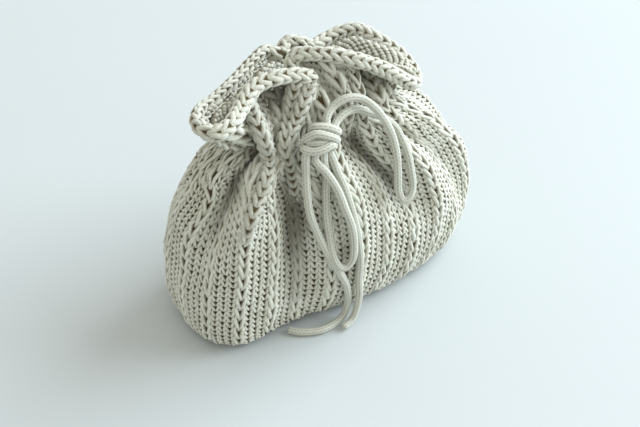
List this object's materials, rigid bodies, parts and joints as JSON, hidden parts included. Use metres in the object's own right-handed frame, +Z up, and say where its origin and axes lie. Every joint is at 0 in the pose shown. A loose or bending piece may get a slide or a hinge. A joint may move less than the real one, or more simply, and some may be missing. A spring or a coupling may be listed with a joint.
{
  "type": "knitted drawstring pouch",
  "caption": "Hand-knitted cotton pouch with a flat oval base, a gathered neck opening into a frill in two lobes, and a round cord drawn through the neck and tied in a bow.",
  "frame": {"origin": "on the surface the pouch stands on, under the middle of the pouch's bounding box, the bow left out", "axes": "+Z up, -Y towards the front where the bow hangs, +X to the right of someone who faces the front"},
  "size_m": [0.2147, 0.1234, 0.1695],
  "materials": {
    "knit_cotton": "matte knitted cotton, sage grey",
    "cotton_cord": "matte fine-knit round cotton cord"
  },
  "bodies": {
    "pouch": {"base_panel": "knit_cotton", "body_wall": "knit_cotton", "drawstring_neck_run": "cotton_cord", "bow_knot": "cotton_cord"},
    "left_lobe": {"frill_left": "knit_cotton", "rim_edge_left": "knit_cotton"},
    "right_lobe": {"frill_right": "knit_cotton", "rim_edge_right": "knit_cotton"},
    "right_loop": {"bow_loop_right": "cotton_cord"},
    "lower_loop": {"bow_loop_lower": "cotton_cord"},
    "left_tail": {"bow_tail_left": "cotton_cord"},
    "right_tail": {"bow_tail_right": "cotton_cord"}
  },
  "joints": [
    {"name": "left_lobe_fold", "type": "hinge", "parent": "pouch", "child": "left_lobe", "pos_m": [-0.027, 0, 0.132], "axis": [0, 1, 0], "range_deg": [-15, 15]},
    {"name": "right_lobe_fold", "type": "hinge", "parent": "pouch", "child": "right_lobe", "pos_m": [0.022, 0, 0.132], "axis": [0, -1, 0], "range_deg": [-15, 15]},
    {"name": "right_loop_lift", "type": "hinge", "parent": "pouch", "child": "right_loop", "pos_m": [-0.0132, -0.0282, 0.1413], "axis": [-0.765, -0.574, -0.292], "range_deg": [0, 40]},
    {"name": "lower_loop_lift", "type": "hinge", "parent": "pouch", "child": "lower_loop", "pos_m": [-0.02445, -0.03644, 0.1256], "axis": [-0.9124, 0.2109, 0.3508], "range_deg": [0, 55]},
    {"name": "left_tail_lift", "type": "hinge", "parent": "pouch", "child": "left_tail", "pos_m": [-0.0318, -0.0336, 0.1305], "axis": [-0.9124, 0.2109, 0.3508], "range_deg": [0, 55]},
    {"name": "right_tail_lift", "type": "hinge", "parent": "pouch", "child": "right_tail", "pos_m": [-0.0164, -0.0374, 0.12425], "axis": [-0.9124, 0.2109, 0.3508], "range_deg": [0, 55]}
  ],
  "couplings": [
    {"joint": "lower_loop_lift", "follows": "right_tail_lift", "ratio": 1}
  ]
}
